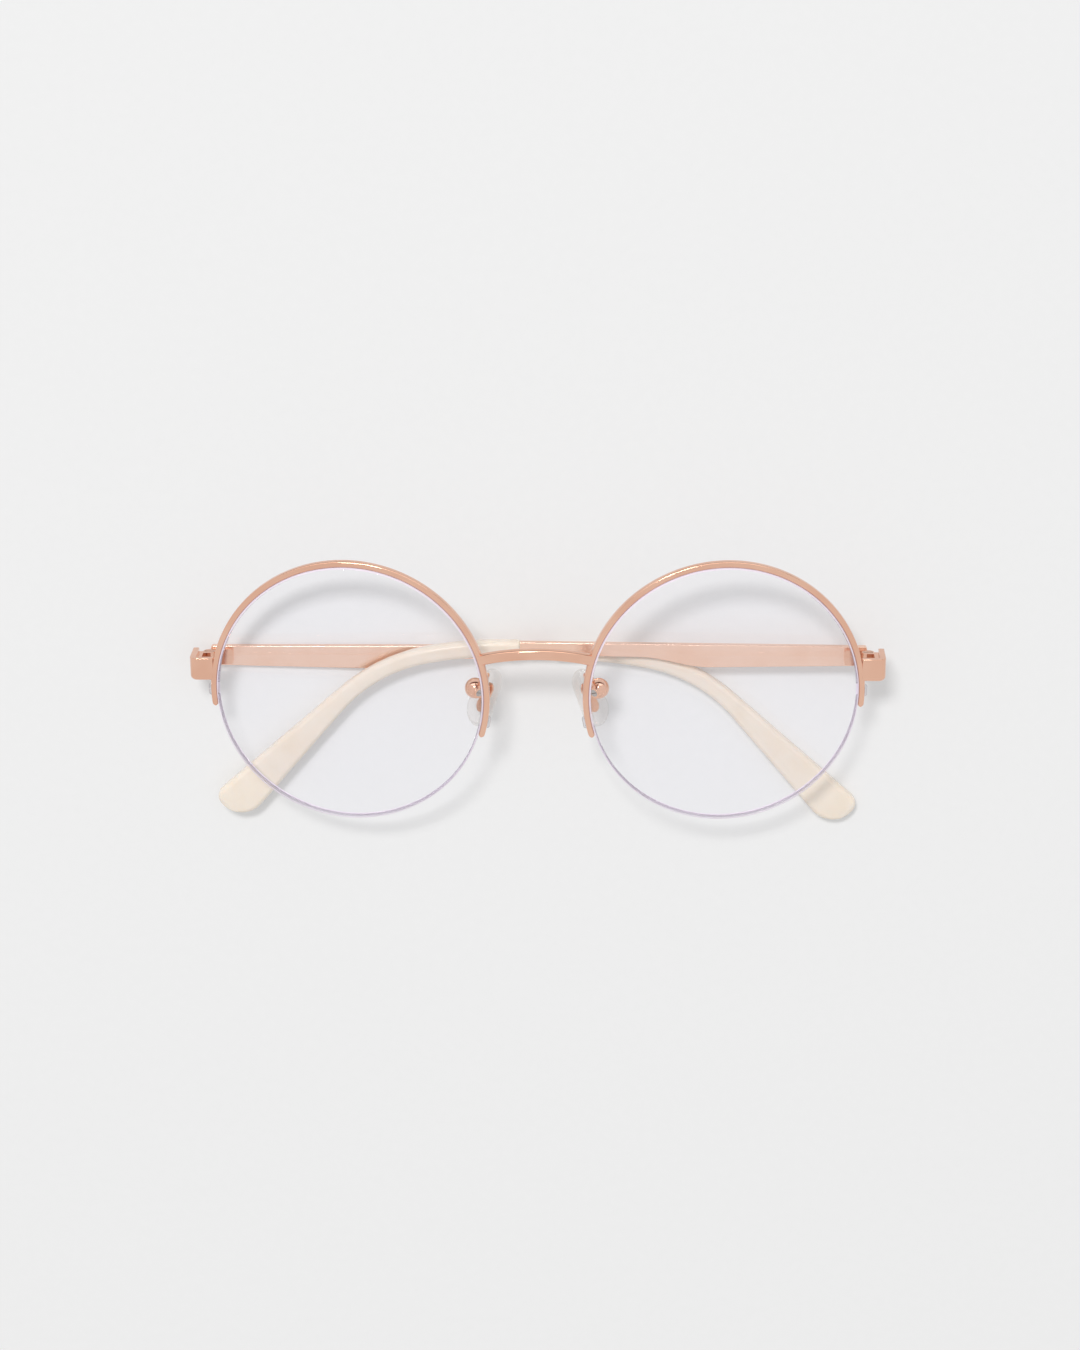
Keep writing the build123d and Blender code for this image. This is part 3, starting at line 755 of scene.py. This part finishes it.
class GLASSES_OT_rims(bpy.types.Operator):
    """Bend both half rims from channelled wire and round their ends"""

    bl_idname = "glasses.rims"
    bl_label = "Half rims"

    def execute(self, context):
        s = context.scene.front
        middle, wall, side_edge = rim_middle(), s.rim_wall, s.rim_depth / 2 - TINY
        drop_temple = atan2(s.temporal_drop, sqrt(middle**2 - s.temporal_drop**2))
        drop_nose = atan2(s.nasal_drop, sqrt(middle**2 - s.nasal_drop**2))
        sweep = pi + drop_temple + drop_nose
        rim = section("rim", wall, s.rim_depth)
        channel, floor = s.channel_width / 2, s.channel_depth - wall / 2
        cut(rim, (0, channel, 0), (0, 1, 0))
        cut(rim, (0, -channel, 0), (0, 1, 0))
        cut(rim, (floor, 0, 0), (1, 0, 0))
        choose(rim, lambda at: at.x < floor and abs(at.y) < channel, "FACE")
        bpy.ops.mesh.delete(type="FACE")
        outer, inner = wall / 2 - TINY, TINY - wall / 2
        round_corners(rim, s.rim_round, 6, lambda at: at.x > outer and abs(at.y) > side_edge)
        round_corners(rim, s.rim_inner_round, 5, lambda at: at.x < inner and abs(at.y) > side_edge)
        lay(rim, Matrix.Translation((middle, 0, 0)) @ Matrix.Rotation(pi / 2, 4, "X"))
        open_up()
        bpy.ops.mesh.spin(steps=180, angle=-sweep, center=(0, 0, 0), axis=(0, 0, 1))
        close_up(rim)
        for way, turned_by in ((-1, 0), (1, -sweep)):
            lay(rim, Matrix.Rotation(turned_by, 4, "Z"))
            bpy.ops.object.mode_set(mode="EDIT")
            choose(rim, lambda at: abs(at.y) < TINY and at.x > 0)
            last, width = 0.0, 1.0
            for share in (0.2, 0.4, 0.6, 0.75, 0.87, 0.95, 0.99):
                draw_out((0, way * (share - last) * wall / 2, 0))
                left = sqrt(1 - share**2)
                scale((left / width, 1, 1), (middle, 0, 0))
                last, width = share, left
        close_up(rim)
        lay(rim, lens_matrix() @ Matrix.Rotation(pi + drop_nose, 4, "Z"))
        for side, piece in zip(SIDES, both_sides(rim, "rim_wire")):
            finish_piece(piece, "front", "rose_metal", shared(polished_rose_gold), f"rim_{side}")
            lay(piece, worn_matrix())
        return {"FINISHED"}


class GLASSES_OT_bridge(bpy.types.Operator):
    """Spin the bridge's rounded bar along its arch between the rims"""

    bl_idname = "glasses.bridge"
    bl_label = "Bridge"

    def execute(self, context):
        s = context.scene.front
        on_rim = Vector((-sqrt(rim_middle() ** 2 - s.bridge_height**2), s.bridge_height, 0))
        reach = (front_matrix().inverted() @ lens_matrix() @ on_rim).x
        rise = hypot(s.bridge_rise, s.bridge_forward)
        radius = (reach**2 + rise**2) / (2 * rise)
        out = Vector((0, s.bridge_rise, s.bridge_forward)) / rise
        centre = Vector((0, s.bridge_height, 0)) + (rise - radius) * out
        first = Vector((-reach, s.bridge_height, 0))
        axis = Vector((1, 0, 0)).cross(out)
        along_bar = (first - centre).cross(axis).normalized()
        tall = Vector((0, 0, 1)).cross(along_bar).normalized()
        bar = section("bridge_bar", s.bridge_tall, s.bridge_deep)
        round_corners(bar, s.bridge_round, 5)
        lay(bar, Matrix((tall, along_bar.cross(tall), along_bar)).transposed().to_4x4())
        lay(bar, Matrix.Translation(first))
        open_up()
        sweep = 2 * atan2(reach, radius - rise)
        bpy.ops.mesh.spin(steps=48, angle=sweep, center=centre, axis=axis)
        close_up(bar)
        finish_piece(bar, "front", "rose_metal", shared(polished_rose_gold), "bridge")
        lay(bar, worn_matrix() @ front_matrix())
        return {"FINISHED"}


class GLASSES_OT_endpieces(bpy.types.Operator):
    """Bend both endpieces back from the rims to the hinges"""

    bl_idname = "glasses.endpieces"
    bl_label = "Endpieces"

    def execute(self, context):
        s = context.scene.front
        thick, front = s.endpiece_thickness, endpiece_front()
        rim_side = (lens_matrix() @ Vector((rim_middle(), s.hinge_height, 0))).x
        bend_x, bend_z = frame_side() - s.endpiece_bend, front - s.endpiece_bend
        strip = section("endpiece", s.endpiece_tall, thick)
        low, face = TINY - s.endpiece_tall / 2, thick / 2 - TINY
        round_corners(strip, s.endpiece_corner, 6, lambda at: at.x < low and at.y > face)
        lay(strip, UPRIGHT)
        lay(strip, Matrix.Translation((rim_side, s.hinge_height, front - thick / 2)))
        open_up()
        draw_out((bend_x - rim_side, 0, 0))
        bpy.ops.mesh.spin(steps=10, angle=-pi / 2, center=(bend_x, 0, bend_z), axis=(0, 1, 0))
        draw_out((0, 0, pin_back() - bend_z))
        close_up(strip)
        round_edges(strip, s.edge)
        close_up(strip)
        gold = shared(polished_rose_gold)
        for side, piece in zip(SIDES, both_sides(strip, "endpiece_strip")):
            finish_piece(piece, "front", "rose_metal", gold, f"endpiece_{side}")
            lay(piece, worn_matrix())
        return {"FINISHED"}


class GLASSES_OT_blades(bpy.types.Operator):
    """Press both temple blades, wide before their middle and narrow behind"""

    bl_idname = "glasses.blades"
    bl_label = "Temple blades"

    def execute(self, context):
        t = context.scene.temple
        first, last = t.gap, t.blade_length + t.overlap
        blade = start("blade", bpy.ops.mesh.primitive_cube_add, size=1)
        scale((last - first, t.tall, t.thickness), (0, 0, 0))
        bpy.ops.transform.translate(value=((last + first) / 2, 0, -t.thickness / 2))
        steps = 10
        taper = t.narrow_at - t.widest_at
        stations = [t.widest_at + taper * i / steps for i in range(steps + 1)]
        for at_x in stations:
            cut(blade, (at_x, 0, 0), (1, 0, 0))
        for at_x in stations + [last]:
            share = min(1.0, (at_x - t.widest_at) / taper)
            tall = t.widest + (t.narrow - t.widest) * share**2 * (3 - 2 * share)
            choose(blade, lambda at: abs(at.x - at_x) < TINY and at.y < 0)
            bpy.ops.transform.translate(value=(0, t.tall - tall, 0))
        middle = -t.thickness / 2
        choose(blade, lambda at: at.x < first + TINY and abs(at.z - middle) < TINY, "EDGE")
        bpy.ops.mesh.bevel(offset=t.corner, segments=5, affect="EDGES")
        close_up(blade)
        round_edges(blade, t.edge)
        close_up(blade)
        satin = shared(satin_rose_gold)
        for side in SIDES:
            piece = copy_of(blade, f"temple_blade_{side}")
            finish_piece(piece, f"temple_{side}", "rose_metal", satin, f"temple_{side}")
            lay(piece, temple_matrix(side))
        bpy.data.objects.remove(blade)
        return {"FINISHED"}


class GLASSES_OT_tips(bpy.types.Operator):
    """Draw both acetate tips out ring by ring, bent down and widened to a paddle"""

    bl_idname = "glasses.tips"
    bl_label = "Temple tips"

    def execute(self, context):
        t = context.scene.temple
        middle = t.tall / 2 - t.narrow / 2
        half, soft = t.tip_tall / 2, t.tip_round
        top = [(t.top_lead, 0), bent(t.top_ease, t.top_ease_turn), bent(t.top_bend, t.top_turn)]
        low = [(t.low_lead, 0), bent(t.low_ease, t.low_ease_turn), bent(t.low_bend, t.low_turn)]
        ends = []
        for legs, run, way in ((top, t.top_run, 1), (low, t.low_run, -1)):
            end = along(legs + [(run, 0)], whole(legs) + run)
            ends.append(end + Vector((0, middle + way * half)))
        across = ends[1] - ends[0]
        across_angle = atan2(across.y, across.x)
        end_normal = Vector((across.y, -across.x)).normalized()
        top_corner = -t.top_ease_turn - t.top_turn - across_angle
        low_corner = across_angle + pi + t.low_ease_turn + t.low_turn
        top_straight = t.top_run - t.paddle_high * tan(top_corner / 2)
        low_straight = t.low_run - t.paddle_low * tan(low_corner / 2)
        top += [(top_straight, 0), bent(t.paddle_high, top_corner)]
        low += [(low_straight, 0), (t.paddle_low * low_corner, low_corner)]
        # The rings lie closest at both ends, where the edges are rounded
        shares = [0.0, 0.001, 0.003, 0.007] + [0.015 * i for i in range(1, 61)]
        shares += [0.91 + 0.005 * i for i in range(16)] + [0.988, 0.991, 0.994, 0.997, 1.0]
        rings = []
        for share in shares:
            high = along(top, share * whole(top)) + Vector((0, middle + half))
            down = along(low, share * whole(low)) + Vector((0, middle - half))
            centre, line = (high + down) / 2, high - down
            left = min(soft, abs((centre - ends[0]).dot(end_normal)))
            mouth = min(t.mouth_round, share * whole(top))
            shy = t.mouth_round - sqrt(t.mouth_round**2 - (t.mouth_round - mouth) ** 2)
            thick = t.tip_thickness - 2 * (soft - sqrt(soft**2 - (soft - left) ** 2) + shy)
            rings.append((centre, atan2(line.y, line.x) - pi / 2, line.length - 2 * shy, thick))
        tip = section("tip", t.tip_tall, t.tip_thickness)
        round_corners(tip, soft, 8)
        lay(tip, UPRIGHT)
        open_up()
        spot, angle, reach, thick = Vector((0, 0)), 0.0, t.tip_tall, t.tip_thickness
        for number, (next_spot, next_angle, next_reach, next_thick) in enumerate(rings):
            if number:
                draw_out()
            shift = next_spot - spot
            bpy.ops.transform.translate(value=(shift.x, shift.y, 0))
            centre = (next_spot.x, next_spot.y, 0)
            swing(-angle, centre)
            part_halves(tip, next_reach - reach, centre)
            scale((1, 1, next_thick / thick), centre)
            swing(next_angle, centre)
            spot, angle, reach, thick = next_spot, next_angle, next_reach, next_thick
        close_up(tip, smooth=60)
        lay(tip, Matrix.Translation((t.blade_length, 0, -t.thickness / 2)))
        cream = shared(cream_acetate)
        for side in SIDES:
            piece = copy_of(tip, f"acetate_tip_{side}")
            finish_piece(piece, f"temple_{side}", "cream_acetate", cream, f"temple_tip_{side}")
            lay(piece, temple_matrix(side))
        bpy.data.objects.remove(tip)
        return {"FINISHED"}


class GLASSES_OT_pads(bpy.types.Operator):
    """Mould both nose pads: drop-shaped, rounded and domed"""

    bl_idname = "glasses.pads"
    bl_label = "Nose pads"

    def execute(self, context):
        p = context.scene.pad
        low = p.low_radius - p.length / 2 - p.drop
        high = p.length / 2 - p.high_radius - p.drop
        pad = disc("pad", p.low_radius, 48)
        choose(pad, lambda at: at.y > -TINY)
        smaller = p.high_radius / p.low_radius
        scale((smaller, smaller, 1), (0, 0, 0))
        bpy.ops.transform.translate(value=(0, high - low, 0))
        bpy.ops.mesh.select_all(action="SELECT")
        middle = (0, (high - low) / 2, 0)
        # Each ring: its width and length as shares of the pad's, its height in half thicknesses
        rings = [(0.86, 0.93, 0.0), (0.95, 0.975, 0.12), (1.0, 1.0, 0.4), (1.0, 1.0, 0.75)]
        rings += [(0.97, 0.985, 1.1), (0.9, 0.94, 1.42), (0.78, 0.86, 1.66), (0.6, 0.72, 1.85)]
        rings += [(0.36, 0.5, 1.95), (0.12, 0.2, 2.0)]
        width, tall, height = rings[0]
        scale((width, tall, 1), middle)
        for next_width, next_tall, halves in rings[1:]:
            next_height = halves / 2 * p.thickness
            draw_out((0, 0, next_height - height))
            scale((next_width / width, next_tall / tall, 1), middle)
            height, width, tall = next_height, next_width, next_tall
        close_up(pad, smooth=80)
        lay(pad, pad_matrix() @ Matrix.Translation((0, low, p.lift)))
        clear = shared(clear_silicone)
        for side, piece in zip(SIDES, both_sides(pad, "silicone_pad")):
            finish_piece(piece, f"pad_{side}", "silicone", clear, f"nose_pad_{side}")
            lay(piece, worn_matrix())
        return {"FINISHED"}


class GLASSES_OT_finishes(bpy.types.Operator):
    """Give the CAD pieces that stay in view their finishes"""

    bl_idname = "glasses.finishes"
    bl_label = "Finishes of the CAD pieces"

    def execute(self, context):
        finishes = {
            "rose_metal": shared(polished_rose_gold),
            "steel": shared(turned_steel),
            "nylon": shared(clear_nylon),
            "silicone": shared(clear_silicone),
            "lens": shared(coated_lens),
            "cream_acetate": shared(cream_acetate),
        }
        for name, piece in nodes.items():
            for place in piece.material_slots:
                slot = place.material.name.split(".")[0]
                if name.startswith("hinge_screw"):
                    place.material = finishes["rose_metal"]  # plated together with the frame
                elif slot in finishes:
                    place.material = finishes[slot]
        return {"FINISHED"}


# The stage, in metres. Y is up in the picture and Z is up from the table
TABLE_SIZE = 6
LAMP_PLACE = (-0.6, 1.86, 2.85)
LAMP_SIZE = (0.85, 0.55)
# Cards that only metal and gloss reflect. Each leans back from the table by its angle
CARDS = {
    "white_card": {"size": (1.6, 0.9), "lean": 56, "place": (-0.1, 0.95, 0.65), "tone": "FFFFFF"},
    "dark_flag": {"size": (0.5, 0.06), "lean": 90, "place": (0, 0.2, 0.03), "tone": "5A4038"},
    "high_card": {"size": (0.5, 0.32), "lean": 33, "place": (-0.3, 0.93, 1.42), "tone": "FFFFFF"},
}


class GLASSES_OT_stage(bpy.types.Operator):
    """Lay the pale table, light it softly from above the picture and set up the camera"""

    bl_idname = "glasses.stage"
    bl_label = "Stage"

    def execute(self, context):
        scene, g = context.scene, context.scene.stage
        table = start("table", bpy.ops.mesh.primitive_plane_add, size=TABLE_SIZE)
        bpy.ops.object.mode_set(mode="OBJECT")
        table.data.materials.append(table_paper())

        for name, made in CARDS.items():
            card = start(name, bpy.ops.mesh.primitive_plane_add, size=1)
            leaning = Matrix.Rotation(radians(made["lean"]), 4, "X")
            sized = Matrix.Diagonal((*made["size"], 1, 1))
            lay(card, Matrix.Translation(made["place"]) @ leaning @ sized)
            card.data.materials.append(glowing(name, made["tone"], getattr(g, name)))
            card.visible_camera = card.visible_diffuse = False
            card.visible_shadow = card.visible_transmission = False

        bpy.ops.object.light_add(type="AREA", location=LAMP_PLACE)
        lamp = context.object
        lamp.name = "soft_lamp"
        lamp.rotation_euler = (-lamp.location).to_track_quat("-Z", "Y").to_euler()
        lamp.data.shape = "RECTANGLE"
        lamp.data.size, lamp.data.size_y = LAMP_SIZE
        lamp.data.energy = g.lamp_power
        lamp.visible_glossy = lamp.visible_transmission = False

        world = bpy.data.worlds.new("pale_room")
        scene.world = world
        world.use_nodes = True
        tree = world.node_tree
        tree.nodes.clear()
        backdrop = linear(scene.finish.backdrop)
        seen = add(tree, "ShaderNodeBackground", Color=backdrop, Strength=1.0)
        light = add(tree, "ShaderNodeBackground", Color=(1, 1, 1, 1), Strength=g.sky)
        shaders = (light, "Background"), (seen, "Background")
        mixed = add_in_order(tree, "ShaderNodeMixShader", seen_rays(tree), *shaders)
        add(tree, "ShaderNodeOutputWorld", Surface=(mixed, "Shader"))

        leaning = Matrix.Rotation(-g.tilt, 4, "X") @ Matrix.Rotation(g.yaw, 4, "Y")
        view = leaning @ Matrix.Rotation(g.roll, 4, "Z")
        spot = view @ Vector((g.aim_across, g.aim_down, g.distance))
        bpy.ops.object.camera_add()
        camera = context.object
        camera.name = "photograph_view"
        camera.matrix_world = Matrix.Translation(worn_matrix().translation + spot) @ view
        camera.data.sensor_fit = "VERTICAL"
        camera.data.sensor_height = 36
        camera.data.lens = g.focal / MM
        camera.data.clip_start, camera.data.clip_end = 0.01, 20
        scene.camera = camera
        scene.view_settings.view_transform = "Standard"
        return {"FINISHED"}


class GLASSES_PT_panel(bpy.types.Panel):
    """The pieces of the glasses, in the sidebar"""

    bl_idname = "GLASSES_PT_panel"
    bl_label = "Half-rimmed glasses"
    bl_space_type = "VIEW_3D"
    bl_region_type = "UI"
    bl_category = "Glasses"

    def draw(self, context):
        for operator in PIECES:
            self.layout.operator(operator.bl_idname)
        for group in SETTINGS:
            box = self.layout.box()
            box.label(text=group.title())
            settings = getattr(context.scene, group)
            for name in settings.bl_rna.properties.keys()[2:]:
                box.prop(settings, name)


SETTINGS = {
    "front": FrontSettings,
    "temple": TempleSettings,
    "pad": PadSettings,
    "finish": FinishSettings,
    "stage": StageSettings,
}
PIECES = (
    GLASSES_OT_lenses,
    GLASSES_OT_rims,
    GLASSES_OT_bridge,
    GLASSES_OT_endpieces,
    GLASSES_OT_blades,
    GLASSES_OT_tips,
    GLASSES_OT_pads,
    GLASSES_OT_finishes,
    GLASSES_OT_stage,
)


def register():
    for name, group in SETTINGS.items():
        bpy.utils.register_class(group)
        setattr(bpy.types.Scene, name, bpy.props.PointerProperty(type=group))
    for operator in PIECES:
        bpy.utils.register_class(operator)
    bpy.utils.register_class(GLASSES_PT_panel)


def unregister():
    bpy.utils.unregister_class(GLASSES_PT_panel)
    for operator in reversed(PIECES):
        bpy.utils.unregister_class(operator)
    for name, group in reversed(SETTINGS.items()):
        delattr(bpy.types.Scene, name)
        bpy.utils.unregister_class(group)


def main():
    """Builds every piece and the stage."""
    register()
    for operator in PIECES:
        group, name = operator.bl_idname.split(".")
        getattr(getattr(bpy.ops, group), name)()


if __name__ == "__main__":
    main()
